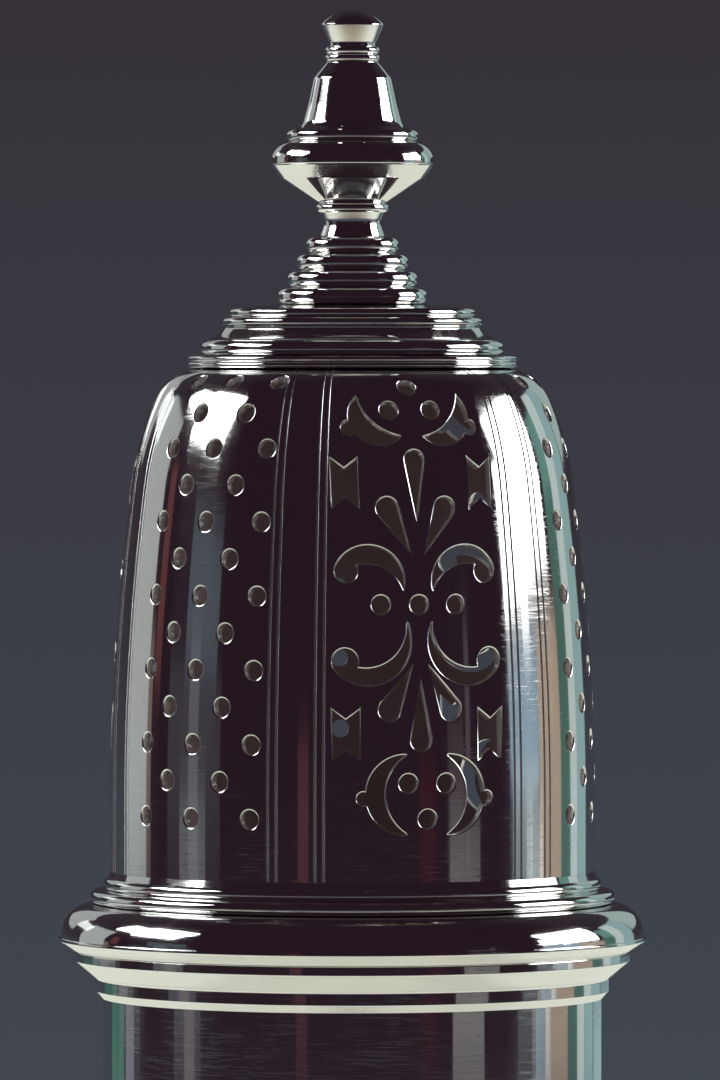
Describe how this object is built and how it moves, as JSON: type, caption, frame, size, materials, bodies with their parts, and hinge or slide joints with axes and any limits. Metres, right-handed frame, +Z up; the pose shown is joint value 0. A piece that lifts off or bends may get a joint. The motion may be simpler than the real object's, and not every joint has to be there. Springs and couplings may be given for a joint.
{
  "type": "sugar caster",
  "caption": "Silver sugar caster: a cylindrical vessel on a moulded foot, with a pierced domed cover and a turned finial that lift off so that it can be filled and shaken.",
  "frame": {"origin": "middle of the foot's underside, on the surface that the caster stands on", "axes": "+Z up along the axis of the turned body, -Y towards the front of the picture"},
  "size_m": [0.063, 0.063, 0.182],
  "materials": {
    "polished_silver": "polished silver with fine hand-polishing lines"
  },
  "bodies": {
    "vessel": {"foot_wire": "polished_silver", "foot": "polished_silver", "body_bottom": "polished_silver", "body_wall": "polished_silver", "body_girdle": "polished_silver", "body_rim": "polished_silver"},
    "cover": {"cover_sleeve": "polished_silver", "cover_flange": "polished_silver", "dome_wire": "polished_silver", "cover_dome": "polished_silver", "cap_ring": "polished_silver", "cover_cap": "polished_silver", "finial_bell": "polished_silver", "finial_knop": "polished_silver", "finial_spire": "polished_silver", "finial_button": "polished_silver"}
  },
  "joints": [
    {"name": "cover_lift", "type": "slide", "parent": "vessel", "child": "cover", "axis": [0, 0, 1], "range_m": [0, 0.06]}
  ]
}
